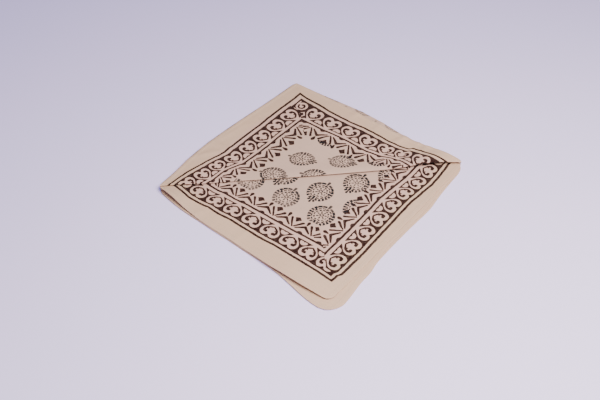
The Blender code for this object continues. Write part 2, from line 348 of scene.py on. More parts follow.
def flat_grid():
    """The cloth laid out flat, with lines for its folds, its diagonal fold and its hems."""
    across = grid_lines(LOW_U, SECOND_FOLD_LENGTH, HIDDEN_CELL, SHOWN_CELL)
    up = grid_lines(LOW_V, FIRST_FOLD_LENGTH, SHOWN_CELL, SHOWN_CELL)
    grid = bmesh.new()
    rows = [[grid.verts.new((u, v, 0)) for u in across] for v in up]
    for lower, upper in zip(rows, rows[1:]):
        for n in range(len(across) - 1):
            grid.faces.new((lower[n], lower[n + 1], upper[n + 1], upper[n]))
    for step in range(FOLD_STEPS + 1):
        on_line = (SIDE + CORNER_FOLD_LENGTH * step / FOLD_STEPS * math.sqrt(2)) / 2
        everything = grid.verts[:] + grid.edges[:] + grid.faces[:]
        cut = {"plane_co": (on_line, on_line, 0), "plane_no": (1, 1, 0)}
        bmesh.ops.bisect_plane(grid, geom=everything, dist=1e-6, **cut)
    return grid


def sheet_mesh(grid):
    """Both faces of the cloth and its rim, folded, from the flat grid. Returns the mesh and, for each of its
    points, the place on the flat cloth that it came from."""
    grid.verts.index_update()
    flat = [(vert.co.x, vert.co.y) for vert in grid.verts]
    printed = [laid(u, v, -half_thickness(u, v)) for u, v in flat]
    reverse = [laid(u, v, half_thickness(u, v)) for u, v in flat]
    faces = [[vert.index for vert in reversed(face.verts)] for face in grid.faces]
    count = len(flat)
    backs = [[index + count for index in reversed(face)] for face in faces]
    rim = []
    for edge in grid.edges:
        if edge.is_boundary:
            a, b = (loop_vert.index for loop_vert in edge.verts)
            rim.append([a, b, b + count, a + count])
    mesh = bpy.data.meshes.new("cloth_sheet")
    mesh.from_pydata(printed + reverse, [], faces + backs + rim)
    for number, polygon in enumerate(mesh.polygons):
        polygon.material_index = 0 if number < len(faces) else 1
    closed = bmesh.new()
    closed.from_mesh(mesh)
    bmesh.ops.recalc_face_normals(closed, faces=closed.faces[:])
    closed.to_mesh(mesh)
    closed.free()
    mesh.shade_smooth()
    return mesh, flat + flat


grid = flat_grid()
sheet, flat_places = sheet_mesh(grid)
grid.free()


# The blocks' places on the cloth
# The border is printed with one block, a heart between two fans, set down again and again along each side.
# The field is printed with another, an oval of dashes, in staggered rows. A printer sets them by eye, so
# each step wanders and the two plain lines bend: the places below are in millimetres on the flat cloth.

BLOCK_STEP = 29.2
LINES_APART = 32.8  # from the outer line to the inner one, on the block itself
SOUTH_HEARTS = (
    (24.0, -1), (53.5, 0), (84.0, 1), (112.5, 2), (143.0, 3), (172.5, 4), (202.0, 5), (231.0, 6), (257.0, 7),
)
NORTH_HEARTS = (
    (34.0, -1), (61.0, 0), (85.0, 1), (111.0, 2), (139.5, 3), (168.0, 4), (198.0, 5), (228.5, 6), (257.0, 7),
)
EAST_HEARTS = (
    (-245.5, 0), (-216.5, 1), (-187.5, 2), (-158.0, 3), (-128.5, 4), (-99.5, 5), (-75.0, 6), (-44.5, 7),
    (49.0, 10), (78.0, 11), (99.5, 12), (130.0, 13), (160.0, 14), (191.0, 15), (223.5, 16), (253.0, 17),
)

# Along each side: a place, where the outer line is there, and how far in the inner line is
SOUTH_LINES = (
    (20, -278.6, 36.0), (42, -279.9, 36.0), (52, -280.8, 35.6), (72, -277.4, 32.4), (84, -274.7, 31.6),
    (101, -275.0, 32.2), (121, -273.1, 32.6), (150, -272.6, 33.3), (174, -272.0, 33.4), (192, -270.2, 31.9),
    (205, -270.1, 32.8), (232, -269.6, 33.8), (256, -270.1, 33.0), (280, -271.9, 33.0),
)
NORTH_LINES = (
    (20, 283.2, 34.0), (34, 282.4, 34.4), (49, 279.6, 35.2), (61, 276.0, 35.0), (72, 272.9, 32.0),
    (85, 270.1, 29.8), (100, 266.5, 31.4), (112, 264.8, 34.6), (140, 266.1, 37.6), (168, 266.8, 38.4),
    (185, 267.1, 38.0), (200, 268.7, 40.0), (230, 270.6, 41.2), (258, 270.6, 41.0), (280, 272.1, 41.0),
)
EAST_LINES = (
    (-271, 278.4, 35.2), (-261, 279.0, 35.2), (-258, 281.6, 35.2), (-216, 282.1, 35.6), (-187, 281.6, 36.0),
    (-158, 279.9, 35.6), (-128, 279.0, 36.4), (-106, 278.5, 34.6), (-96, 280.0, 35.2), (-78, 281.6, 35.0),
    (-66, 283.0, 36.0), (-44, 282.3, 36.1), (-18, 279.7, 36.1), (30, 277.2, 38.0), (50, 277.7, 38.0),
    (72, 279.2, 34.5), (76, 274.2, 30.5), (84, 273.4, 29.4), (100, 271.3, 33.4), (120, 273.2, 39.4),
    (150, 273.4, 39.2), (172, 270.8, 37.6), (192, 270.6, 40.0), (212, 270.9, 40.3), (225, 272.9, 42.6),
    (250, 273.9, 42.0), (262, 275.3, 41.0), (272, 277.3, 41.0),
)
WEST_LINE = -276.0

# Beyond the folds the band lies deeper and the outer line is finer: a depth, and what is taken from it there
DEEPER_BAND = ((-2.4, 0.25), (0.0, 0.0), (2.4, -0.25), (6.2, 1.1), (28.2, 1.4), (32.0, 0.0))

# Middles of the ovals that show, how far each is turned anticlockwise in degrees, and its size along and
# across the diagonal fold
OVALS = (
    (203.0, -122.5, 0, 1.0, 1.0), (176.5, -164.5, 0, 1.0, 1.0), (149.3, -199.5, 0, 1.0, 1.0),
    (204.3, -197.5, 0, 1.0, 1.0), (94.5, -204.0, 0, 1.0, 1.0), (122.5, -168.0, 0, 1.0, 1.0),
    (231.5, -161.0, 0, 1.0, 1.0), (230.0, -82.0, 0, 1.0, 1.0), (166.9, 177.6, 12, 0.96, 0.74),
    (196.0, 133.1, 13, 0.96, 0.74), (119.8, 188.0, 14, 0.96, 0.78), (150.0, 144.0, 14, 0.96, 0.78),
    (220.0, 173.0, 10, 0.90, 0.80), (229.0, 97.0, 10, 0.90, 0.80),
)
OVAL_COLUMN, OVAL_ROW = 53.8, 37.2
ROWS, COLUMNS = range(-4, 11), range(-10, 4)  # counted from the first oval above
FIELD_HALF = 222
OVAL_ROOM = 36


def read_off(table, place, column):
    """A column of a table, read at a place between its rows."""
    if place <= table[0][0]:
        return table[0][column]
    for low, high in zip(table, table[1:]):
        if place <= high[0]:
            return low[column] + (place - low[0]) / (high[0] - low[0]) * (high[column] - low[column])
    return table[-1][column]


def heart_number(hearts, place):
    """The number of the border block at a place along a side, with its fraction from the last heart."""
    beyond = min(place - hearts[0][0], 0) + max(place - hearts[-1][0], 0)
    return read_off(hearts, place, 1) + beyond / BLOCK_STEP


def on_block(share, v):
    """The depth in the block at this share of the way from the outer line to the inner one."""
    depth = share * LINES_APART
    return depth - read_off(DEEPER_BAND, depth, 1) if v > 0 else depth


def border_across(u, v):
    """For the near and far sides: the block's number along u, and how deep in the block the place is."""
    hearts, lines = (SOUTH_HEARTS, SOUTH_LINES) if v < 0 else (NORTH_HEARTS, NORTH_LINES)
    depth = abs(read_off(lines, u, 1)) - abs(v)
    return heart_number(hearts, u), on_block(depth / read_off(lines, u, 2), v)


def border_up(u, v):
    """The same for the two other sides, along v."""
    if u < 0:
        return heart_number(EAST_HEARTS, v), u - WEST_LINE
    depth = read_off(EAST_LINES, v, 1) - u
    return heart_number(EAST_HEARTS, v), on_block(depth / read_off(EAST_LINES, v, 2), v)


def field_ovals():
    """Every oval: those that show, and staggered rows over the rest of the field."""
    ovals = list(OVALS)
    start_u, start_v = OVALS[0][:2]
    for row in ROWS:
        for column in COLUMNS:
            u = start_u + (column + (row % 2) / 2) * OVAL_COLUMN
            v = start_v + row * OVAL_ROW
            free = all(math.hypot(u - other[0], v - other[1]) > OVAL_ROOM for other in ovals)
            if free and max(abs(u), abs(v)) < FIELD_HALF and (u < 0 or v < 0 or u + v < SIDE * 1000):
                ovals.append((u, v, 0, 1.0, 1.0))
    return ovals


def from_oval(oval, u, v):
    """A place measured from an oval's middle, along and across its own upright, on the block itself."""
    middle_u, middle_v, turn, size_along, size_across = oval
    cosine, sine = math.cos(math.radians(turn)), math.sin(math.radians(turn))
    along = (u - middle_u - v + middle_v) / 2 / size_along
    across = (u - middle_u + v - middle_v) / 2 / size_across
    from_u, from_v = across + along, across - along
    return from_u * cosine + from_v * sine, from_v * cosine - from_u * sine


def chart(mesh, name, places):
    """Gives each corner of each face its place, as a UV map."""
    layer = mesh.uv_layers.new(name=name, do_init=False)
    layer.uv.foreach_set("vector", [number for place in places for number in place])


corner_places = [flat_places[loop.vertex_index] for loop in sheet.loops]
corner_mm = [(u * 1000, v * 1000) for u, v in corner_places]
chart(sheet, "flat_cloth", corner_places)
chart(sheet, "border_across", [border_across(u, v) for u, v in corner_mm])
chart(sheet, "border_up", [border_up(u, v) for u, v in corner_mm])
ovals = field_ovals()
oval_places = []
for polygon in sheet.polygons:
    corners = [corner_mm[index] for index in polygon.loop_indices]
    middle_u = sum(u for u, v in corners) / len(corners)
    middle_v = sum(v for u, v in corners) / len(corners)
    nearest = min(ovals, key=lambda oval: (oval[0] - middle_u) ** 2 + (oval[1] - middle_v) ** 2)
    oval_places += [from_oval(nearest, u, v) for u, v in corners]
chart(sheet, "oval", oval_places)


# The print
# Two inks are stamped with carved teak blocks: an iron brown-black for the border and an indigo black for
# the ovals. The pattern below is worked out in millimetres on the block's own face, as depths inside each
# carved line: above zero is inked, below zero is bare cloth.

INK_EDGE = 0.18  # half the softness of an ink's edge on the printed side
INK_SPREAD = 0.38  # how far the ink spreads beyond the carved line
INK_CREEP = 0.26  # and how unevenly
CREEP_GRAIN = 560  # the fineness of a grain is the scale of its noise, over a metre of flat cloth
DEPTH_WANDER = 1.0  # how far a carved line strays
DEPTH_GRAIN = 130
STEP_WANDER = 0.045  # the same along the row, in blocks
STEP_GRAIN = 110

OUTER_LINE = (0.0, 1.20)  # the middle and the half width of each plain line
INNER_LINE = (32.5, 1.05)
BAND = (5.0, 26.8)
HEART_SIDES = (
    (6.6, 8.6), (8.6, 11.3), (11.0, 12.6), (14.5, 13.1), (17.5, 12.3), (20.0, 10.5), (23.0, 7.2),
    (25.5, 4.4), (27.7, 2.6), (28.8, 0.8),
)
HEART_FOOT = (
    (0.0, 9.8), (1.2, 8.9), (2.6, 7.6), (4.5, 6.8), (6.5, 6.7), (9.0, 7.2), (11.2, 8.9), (13.0, 12.0),
    (15.0, 17.0),
)
HALF_MOON = ((19.9, -1.5), (20.2, 1.3), (21.0, 3.3), (22.2, 4.6), (23.6, 5.3), (25.0, 5.6))
HALF_MOON_FOOT = 25.8
HALF_MOON_HEART = ((24.3, -1.0), (24.9, 0.2), (25.5, 1.2), (26.2, 2.0))
HOOK = (
    (0.6, 23.0, 0.70), (4.6, 20.9, 0.90), (7.2, 18.4, 1.15), (8.3, 15.8, 1.40), (7.3, 13.4, 1.65),
    (5.0, 13.2, 1.75),
)
HOOK_SPUR = ((6.4, 20.0, 0.9), (4.6, 18.2, 0.5))
HILL_AND_DROP = (
    (31.6, -2.0), (32.4, 5.2), (33.5, 4.4), (34.7, 3.0), (35.8, 1.3), (36.6, -1.0), (46.4, -1.0),
    (47.6, 0.4), (49.8, 1.2), (52.2, 1.9), (53.6, 1.6), (54.6, 0.5), (55.6, -1.5),
)
BUD = (
    (45.6, -1.5), (46.5, 0.3), (48.3, 1.7), (49.9, 3.1), (51.3, 4.4), (52.5, 3.3), (53.8, 1.7), (55.2, -1.0),
)
BUD_OFF = 0.5  # to the fan's left
CHEVRON = ((0.0, 44.5, 1.60), (9.9, 37.8, 0.70))
LONG_RAY = ((-0.4, 37.4, 0.65), (-8.8, 49.4, 1.15))
SHORT_RAY = ((1.6, 38.8, 0.70), (8.8, 48.6, 1.55))

# The printer's paper masks, which keep the ovals off the border: depths from the side and the end lines
MASK_ACROSS, MASK_UP = 56.5, 50.0

# The near corner's second row of blocks was printed over the first, this far past the mitre
CORNER_LEAD, CORNER_LEAD_FROM = 8.0, 10.4
NEAR_CORNER = 0.2  # metres from the flat cloth's middle, both ways

# The far corner's own small block: a pale curl on a dark square. The square's sides are its inner ones.
CURL_SQUARE = (246.0, 239.4)
CURL_MIDDLE, CURL_RADIUS = (255.2, 250.0), 9.2
CURL_HOOK = (
    (0.6, 5.2, 1.1), (-3.4, 3.9, 0.9), (-5.2, 0.2, 1.1), (-3.8, -3.4, 1.1), (-0.6, -4.7, 1.1),
    (2.6, -3.2, 1.2), (3.7, -0.4, 1.6), (2.9, 0.7, 1.5),
)
CURL_INSET = (4.6, 6.2)  # from the two outer lines
CURL_LEAF = ((1.0, 8.2, 1.5), (8.4, 8.6, 1.3))
# Between the curl and the inner lines the blocks' ends run together: a dark neck with a small pale hook
NECK_HALF, NECK_TAPER, NECK_LENGTH = 10.8, 0.14, 40.0
NECK_HOOK = ((-12.3, -8.6, 0.9), (-9.2, -11.8, 1.3), (-14.3, -16.2, 1.5), (-18.4, -14.8, 1.3))


class Value:
    """A number or vector at each point of the cloth: an output of a node. Sums of values add nodes."""

    def __init__(self, socket):
        self.socket = socket

    def __add__(self, other):
        return worked("ADD", self, other)

    def __sub__(self, other):
        return worked("SUBTRACT", self, other)

    def __rsub__(self, other):
        return worked("SUBTRACT", other, self)

    def __mul__(self, other):
        return worked("MULTIPLY", self, other)

    def __truediv__(self, other):
        return worked("DIVIDE", self, other)

    def __neg__(self):
        return worked("MULTIPLY", self, -1)


def plug(node, given, places=(0, 1, 2, 3, 4)):
    """Links or sets a node's inputs at these places, in order."""
    for place, value in zip(places, given):
        if isinstance(value, Value):
            node.id_data.links.new(value.socket, node.inputs[place])
        else:
            node.inputs[place].default_value = value
    return node


def worked(operation, *terms, held=False):
    """A Math node. With held, its result is held between 0 and 1."""
    tree = next(term.socket.id_data for term in terms if isinstance(term, Value))
    node = tree.nodes.new("ShaderNodeMath")
    node.operation = operation
    node.use_clamp = held
    return Value(plug(node, terms).outputs[0])


def worked_vector(operation, *terms):
    tree = next(term.socket.id_data for term in terms if isinstance(term, Value))
    node = tree.nodes.new("ShaderNodeVectorMath")
    node.operation = operation
    plug(node, terms)
    return Value(node.outputs["Value" if operation in ("LENGTH", "DOT_PRODUCT") else "Vector"])


def least(*values):
    result = values[0]
    for value in values[1:]:
        result = worked("MINIMUM", result, value)
    return result


def most(*values):
    result = values[0]
    for value in values[1:]:
        result = worked("MAXIMUM", result, value)
    return result


def size(value):
    return worked("ABSOLUTE", value)


def profile(across, points, handle="AUTO"):
    """A carved outline: the curve through the points, read at across."""
    tree = across.socket.id_data
    node = tree.nodes.new("ShaderNodeFloatCurve")
    mapping = node.mapping
    mapping.use_clip = False
    curve = mapping.curves[0]
    curve.points[0].location = points[0]
    curve.points[1].location = points[-1]
    for x, y in points[1:-1]:
        curve.points.new(x, y)
    for point in curve.points:
        point.handle_type = handle
    mapping.update()
    tree.links.new(across.socket, node.inputs["Value"])
    return Value(node.outputs[0])


def point_at(x, y):
    """A vector from two values."""
    node = x.socket.id_data.nodes.new("ShaderNodeCombineXYZ")
    return Value(plug(node, (x, y)).outputs[0])


def stroke(point, start, end):
    """A straight stroke of the gouge: each end is its place and half width."""
    run = Vector((end[0] - start[0], end[1] - start[1], 0))
    from_start = worked_vector("SUBTRACT", point, (start[0], start[1], 0))
    share = worked_vector("DOT_PRODUCT", from_start, tuple(run / run.length_squared))
    share = worked("ADD", share, 0.0, held=True)
    off = worked_vector("MULTIPLY_ADD", share, tuple(-run), from_start)
    half_width = worked("MULTIPLY_ADD", share, end[2] - start[2], start[2])
    return half_width - worked_vector("LENGTH", off)


def strokes(point, places):
    return most(*[stroke(point, start, end) for start, end in zip(places, places[1:])])


def line_at(distance, middle_and_half):
    middle, half = middle_and_half
    return half - size(distance - middle)


# The inputs where a Mix node takes its factor and its two numbers or colours
MIX_NUMBERS, MIX_COLOURS = (0, 2, 3), (0, 6, 7)


def chosen(switch, when_one, when_zero):
    """One value where the switch is 1, another where it is 0."""
    node = switch.socket.id_data.nodes.new("ShaderNodeMix")
    node.data_type = "FLOAT"
    return Value(plug(node, (switch, when_zero, when_one), MIX_NUMBERS).outputs[0])


def uv_map(tree, name):
    """The two values of one of the sheet's UV maps."""
    node = tree.nodes.new("ShaderNodeUVMap")
    node.uv_map = name
    parts = tree.nodes.new("ShaderNodeSeparateXYZ")
    tree.links.new(node.outputs[0], parts.inputs[0])
    return Value(parts.outputs[0]), Value(parts.outputs[1])


def grain(point, scale, detail=2.0, roughness=0.5):
    """Cloudy noise from 0 to 1 at a point."""
    node = point.socket.id_data.nodes.new("ShaderNodeTexNoise")
    node.inputs["Scale"].default_value = scale
    node.inputs["Detail"].default_value = detail
    node.inputs["Roughness"].default_value = roughness
    point.socket.id_data.links.new(point.socket, node.inputs["Vector"])
    return Value(node.outputs[0])


def print_group():
    """A node group that says how much brown and how much indigo ink there is at each point. Its Softness is
    half the width of an ink's edge in millimetres."""
    tree = bpy.data.node_groups.new("block_print", "ShaderNodeTree")
    tree.interface.new_socket("Softness", in_out="INPUT", socket_type="NodeSocketFloat")
    tree.interface.new_socket("Brown", in_out="OUTPUT", socket_type="NodeSocketFloat")
    tree.interface.new_socket("Indigo", in_out="OUTPUT", socket_type="NodeSocketFloat")
    softness = Value(tree.nodes.new("NodeGroupInput").outputs["Softness"])
    out = tree.nodes.new("NodeGroupOutput")

    u, v = uv_map(tree, "flat_cloth")
    flat = point_at(u, v)
    creep = (grain(flat, CREEP_GRAIN, 2.0, 0.6) - 0.5) * (INK_CREEP * 2) + INK_SPREAD
    in_across, in_up = uv_map(tree, "border_across")[1], uv_map(tree, "border_up")[1]
    brown = border_print(tree, u, v, flat) + creep
    indigo = least(oval_print(tree) + creep, in_across - MASK_ACROSS, in_up - MASK_UP)
    for depth, name in ((brown, "Brown"), (indigo, "Indigo")):
        inked = tree.nodes.new("ShaderNodeMapRange")
        inked.interpolation_type = "SMOOTHSTEP"
        plug(inked, (depth, -softness, softness, 0.0, 1.0))
        tree.links.new(inked.outputs[0], out.inputs[name])
    return tree


def border_print(tree, u, v, flat):
    """The border's depth of carving: one row of blocks along each side, mitred at the corners."""
    number_across, in_across = uv_map(tree, "border_across")
    number_up, in_up = uv_map(tree, "border_up")
    near_corner = worked("GREATER_THAN", u, NEAR_CORNER) * worked("LESS_THAN", v, -NEAR_CORNER)
    near_corner = near_corner * worked("GREATER_THAN", in_across, CORNER_LEAD_FROM)
    on_up = worked("LESS_THAN", in_up, in_across + near_corner * CORNER_LEAD)
    inwards = chosen(on_up, in_up, in_across) + (grain(flat, DEPTH_GRAIN, 1.0) - 0.5) * DEPTH_WANDER
    number = chosen(on_up, number_up, number_across) + (grain(flat, STEP_GRAIN, 1.0) - 0.5) * STEP_WANDER
    from_heart = size(number - worked("ROUND", number, 0.0)) * BLOCK_STEP
    from_fan = (worked("FRACT", number, 0.0) - 0.5) * BLOCK_STEP

    heart = least(profile(inwards, HEART_SIDES) - from_heart, inwards - profile(from_heart, HEART_FOOT))
    above_foot = HALF_MOON_FOOT - inwards
    half_moon = least(profile(inwards, HALF_MOON) - size(from_fan), above_foot)
    moon_heart = least(profile(inwards, HALF_MOON_HEART) - size(from_fan), above_foot)
    halved = point_at(from_heart, inwards)
    band = least(inwards - BAND[0], BAND[1] - inwards, -heart, -half_moon)
    band = most(band, moon_heart, strokes(halved, HOOK), stroke(halved, *HOOK_SPUR))
    band = corner_curl(band, u, v, in_across, in_up)
    fan = point_at(from_fan, inwards)
    fans = most(
        profile(inwards, HILL_AND_DROP) - from_heart,
        profile(inwards, BUD) - size(from_fan + BUD_OFF),
        stroke(halved, *CHEVRON),
        stroke(fan, *LONG_RAY),
        stroke(fan, *SHORT_RAY),
    )
    return most(line_at(inwards, OUTER_LINE), line_at(inwards, INNER_LINE), band, fans)


def corner_curl(band, u, v, in_across, in_up):
    """The far corner's own block in place of the band, and the dark neck inside it."""
    from_u, from_v = u * 1000 - CURL_MIDDLE[0], v * 1000 - CURL_MIDDLE[1]
    point = point_at(from_u, from_v)
    pale = most(CURL_RADIUS - worked_vector("LENGTH", point), stroke(point, *CURL_LEAF))
    inked = most(-pale, strokes(point, CURL_HOOK))
    inked = least(inked, in_up - CURL_INSET[0], in_across - CURL_INSET[1])
    inwards = from_u + from_v
    neck = least(inwards * NECK_TAPER + NECK_HALF - size(from_u - from_v), inwards + NECK_LENGTH)
    in_neck = worked("GREATER_THAN", neck, 0.0)
    band = chosen(in_neck, -strokes(point, NECK_HOOK), band)
    past_u = worked("GREATER_THAN", u, CURL_SQUARE[0] / 1000)
    past_v = worked("GREATER_THAN", v, CURL_SQUARE[1] / 1000)
    return chosen(past_u * past_v, inked, band)


# The field block, an oval of dashes: its radius at each share of the way round from its top
OVAL_RIM = (
    (0.0, 16.6), (0.28, 16.6), (0.4, 17.0), (0.6, 17.0), (0.72, 17.3), (0.84, 18.3), (0.92, 17.3),
    (1.0, 16.5),
)
RIM_DASHES, RIM_DASH_LENGTH, RIM_DASH_HALF, RIM_DASH_TAPER = 22, 3.6, 1.40, 0.12
CROWN_FROM, CROWN_TO = 0.05, 0.33  # the crown's dashes lie along the rim, over these shares of the way round
CROWN_CUT = 40  # how sharply the crown and the rim's own dashes part
CROWN_OFF, CROWN_DEPTH = 0.157, 1.1  # an angle, and how far inside the rim the dashes lie

# Rings of dashes: how many to the full ring, half the length and half the width of one
CROWN_RING = (15.8, 2.5, 1.25)
SECOND_RING, SECOND_TURN, SECOND_AT = (14, 1.6, 0.62), 0.13, 0.70  # a share of the rim's radius
THIRD_RING, THIRD_AT = (12, 1.2, 0.55), 0.52
PETAL_RING, PETAL_TURN, PETALS_AT = (7, 0.55, 1.1), 0.1, 5.3
EYE_AT, EYE_HALF = 2.1, 0.45
NET_WANDER, NET_GRAIN = 3.4, 160  # how far the fine rings inside an oval stray

# The sprig at the top of the oval and the stem under it
SPRIG = ((0.0, 14.6, 0.70), (0.0, 19.2, 1.65))
SPRIG_DOT = ((0.0, 10.9, 1.00), (0.0, 11.8, 1.10))
STEM = ((0.0, -12.8, 0.55), (0.0, -19.5, 0.65))
STEM_TIP = ((0.0, -21.3, 1.00), (0.0, -22.7, 1.30))
STEM_BUD = ((2.9, -18.3, 1.05), (4.0, -19.6, 1.25))


def dashes(angle, radius, count, half_length, half_width, middle):
    """Dashes that lie along a ring of that middle radius."""
    cell = worked("FRACT", angle * (count / (2 * math.pi)), 0.0) - 0.5
    along = size(cell) * radius * (2 * math.pi / count)
    return least(half_length - along, half_width - size(radius - middle))


def oval_print(tree):
    """The field block's depth of carving, measured from the oval's middle."""
    x, y = uv_map(tree, "oval")
    point = point_at(x, y)
    radius = worked_vector("LENGTH", point)
    angle = worked("ARCTAN2", x, y)
    way_round = size(angle) / math.pi
    rim = profile(way_round, OVAL_RIM)

    cell = worked("FRACT", angle * (RIM_DASHES / (2 * math.pi)) + 0.5, 0.0) - 0.5
    across = size(cell) * radius * (2 * math.pi / RIM_DASHES)
    inside_rim = rim - radius
    tapered = RIM_DASH_HALF - inside_rim * RIM_DASH_TAPER
    past_crown = (way_round - CROWN_TO) * CROWN_CUT
    rim_dashes = least(tapered - across, inside_rim, RIM_DASH_LENGTH - inside_rim, past_crown)
    crown = dashes(size(angle) - CROWN_OFF, radius, *CROWN_RING, rim - CROWN_DEPTH)
    crown = least(crown, (CROWN_TO - way_round) * CROWN_CUT, (way_round - CROWN_FROM) * CROWN_CUT)

    in_metres = point_at(x * 0.001, y * 0.001)
    astray = radius + (grain(in_metres, NET_GRAIN, 1.0) - 0.5) * NET_WANDER
    second = dashes(angle + SECOND_TURN, astray, *SECOND_RING, rim * SECOND_AT)
    third = dashes(angle, astray, *THIRD_RING, rim * THIRD_AT)
    petals = dashes(angle + PETAL_TURN, astray, *PETAL_RING, PETALS_AT)
    eye = EYE_HALF - size(astray - EYE_AT)
    halved = point_at(size(x), y)
    return most(
        rim_dashes, crown, second, third, petals, eye, stroke(point, *SPRIG), stroke(point, *SPRIG_DOT),
        stroke(point, *STEM), stroke(point, *STEM_TIP), stroke(halved, *STEM_BUD),
    )


# The cotton
# Plain-woven cotton, a warm off-white that the dyeing has left pinker inside the border, and the inks in
# it. On the reverse the inks only show through.

COTTON_WARM = (0.590, 0.412, 0.302, 1)
COTTON_COOL = (0.545, 0.398, 0.310, 1)
BORDER_TINT = (0.582, 0.388, 0.350, 1)
FIELD_TINT = (0.502, 0.362, 0.306, 1)
BROWN_INK = (0.018, 0.0045, 0.004, 1)
INDIGO_INK = (0.006, 0.008, 0.012, 1)
REVERSE_SHARES = (0.16, 0.55)  # how much of the brown and of the indigo shows through
REVERSE_SOFTNESS = 0.7
COTTON_ROUGHNESS = 0.88

# A tint's slope and start: it comes in at 0.275 m from the flat cloth's middle, the field's at 0.235 m
BORDER_FADE, FIELD_FADE = (-80.0, 22.0), (-40.0, 9.4)
TINT_SHARE = 0.85
CLOUD_GRAIN, CLOUD_WANDER = 14, 0.02  # the second is how far the clouds move those two places

# Slubs are thicker threads, both ways: noise drawn out along each. Heights are in metres.
SLUB_COLOUR = (0.425, 0.302, 0.228, 1)
SLUB_GRAIN, SLUB_ALONG, SLUB_ACROSS, SLUB_SHARE = 6, 4.0, 90.0, 0.5
SLUB_HEIGHT = 0.00006
CRUMPLE_GRAIN, CRUMPLE_HEIGHT = 55, 0.0015
THREADS_PER_METRE = 2200
THREAD_HEIGHT = 0.00006
CROSSING_SHARE = 0.35
BUMP_STRENGTH = 0.6

# The inks take unevenly: each pair is how much the noise adds to a share, and the least share
MOTTLE_GRAIN, INK_MOTTLE, MOTTLE_ROUGHNESS = 330, (0.30, 0.83), 0.12
PATCH_GRAIN, INDIGO_PATCHES = 45, (0.9, 0.55)


def mixed(share, colour, other):
    """A colour, turning to the other one as the share goes from 0 to 1."""
    node = share.socket.id_data.nodes.new("ShaderNodeMix")
    node.data_type = "RGBA"
    node.clamp_factor = True
    return Value(plug(node, (share, colour, other), MIX_COLOURS).outputs[2])


def weave_height(u, v):
    """The height of the threads of a plain weave."""
    warp = worked("SINE", u * (THREADS_PER_METRE * math.pi))
    weft = worked("SINE", v * (THREADS_PER_METRE * math.pi))
    return size(warp) * 0.5 + size(weft) * 0.5 + warp * weft * CROSSING_SHARE


def blank(name):
    """A new material, its node tree and its shader."""
    material = bpy.data.materials.new(name)
    material.use_nodes = True
    tree = material.node_tree
    return material, tree, tree.nodes["Principled BSDF"]


def cotton(name, print_tree, softness, brown_share, indigo_share):
    """The cloth's finish on one side."""
    material, tree, shader = blank(name)
    shader.inputs["Metallic"].default_value = 0.0
    shader.inputs["Specular IOR Level"].default_value = 0.12
    shader.inputs["Sheen Weight"].default_value = 0.05
    shader.inputs["Sheen Roughness"].default_value = 0.5
    u, v = uv_map(tree, "flat_cloth")
    flat = point_at(u, v)
    inks = tree.nodes.new("ShaderNodeGroup")
    inks.node_tree = print_tree
    inks.inputs["Softness"].default_value = softness

    clouds = grain(flat, CLOUD_GRAIN, 2.0)
    colour = mixed(clouds, COTTON_WARM, COTTON_COOL)
    inside = most(size(u), size(v)) + (clouds - 0.5) * CLOUD_WANDER
    for fade, tint in ((BORDER_FADE, BORDER_TINT), (FIELD_FADE, FIELD_TINT)):
        share = worked("MULTIPLY_ADD", inside, *fade, held=True) * TINT_SHARE
        colour = mixed(share, colour, tint)
    slubs = grain(point_at(u * SLUB_ALONG, v * SLUB_ACROSS), SLUB_GRAIN, 2.0)
    slubs = slubs + grain(point_at(u * SLUB_ACROSS, v * SLUB_ALONG), SLUB_GRAIN, 2.0)
    colour = mixed((slubs - 1.0) * SLUB_SHARE, colour, SLUB_COLOUR)
    mottle = grain(flat, MOTTLE_GRAIN, 3.0, 0.6)
    density = worked("MULTIPLY_ADD", mottle, *INK_MOTTLE, held=True)
    patches = worked("MULTIPLY_ADD", grain(flat, PATCH_GRAIN, 1.0), *INDIGO_PATCHES, held=True)
    colour = mixed(Value(inks.outputs["Brown"]) * density * brown_share, colour, BROWN_INK)
    colour = mixed(Value(inks.outputs["Indigo"]) * density * patches * indigo_share, colour, INDIGO_INK)
    tree.links.new(colour.socket, shader.inputs["Base Color"])

    least_roughness = COTTON_ROUGHNESS - MOTTLE_ROUGHNESS / 2
    roughness = worked("MULTIPLY_ADD", mottle, MOTTLE_ROUGHNESS, least_roughness)
    tree.links.new(roughness.socket, shader.inputs["Roughness"])
    crumple = grain(flat, CRUMPLE_GRAIN, 3.0, 0.55)
    height = weave_height(u, v) * THREAD_HEIGHT + crumple * CRUMPLE_HEIGHT + slubs * SLUB_HEIGHT
    bump = tree.nodes.new("ShaderNodeBump")
    bump.inputs["Strength"].default_value = BUMP_STRENGTH
    bump.inputs["Distance"].default_value = 1.0
    tree.links.new(height.socket, bump.inputs["Height"])
    tree.links.new(bump.outputs["Normal"], shader.inputs["Normal"])
    return material


block_print = print_group()
sheet.materials.append(cotton("printed_cotton", block_print, INK_EDGE, 1.0, 1.0))
sheet.materials.append(cotton("cotton_reverse", block_print, REVERSE_SOFTNESS, *REVERSE_SHARES))
cloth = placed("cloth_sheet", sheet)
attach(cloth, "root")
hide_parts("cloth")


# The hem's stitches
# A line of machine stitches in cotton thread holds the rolled hem. Each is a long bead, laid end to end by
# Geometry Nodes along a line on each face of the cloth.

STITCH_PITCH = 0.0030
STITCH_LENGTH = 0.0023
THREAD_THICKNESS = 0.00032
THREAD_OUT = THREAD_THICKNESS * 0.1  # how far outside the cloth its middle runs
BEAD_SEGMENTS, BEAD_RINGS = 6, 4
STITCH_LINE = 0.0040  # from the free edge
STITCH_LINE_STEP = 0.0015
THREAD_COLOUR = (0.70, 0.61, 0.50, 1)
THREAD_SHADE = (0.58, 0.49, 0.39, 1)
THREAD_GRAIN = 600


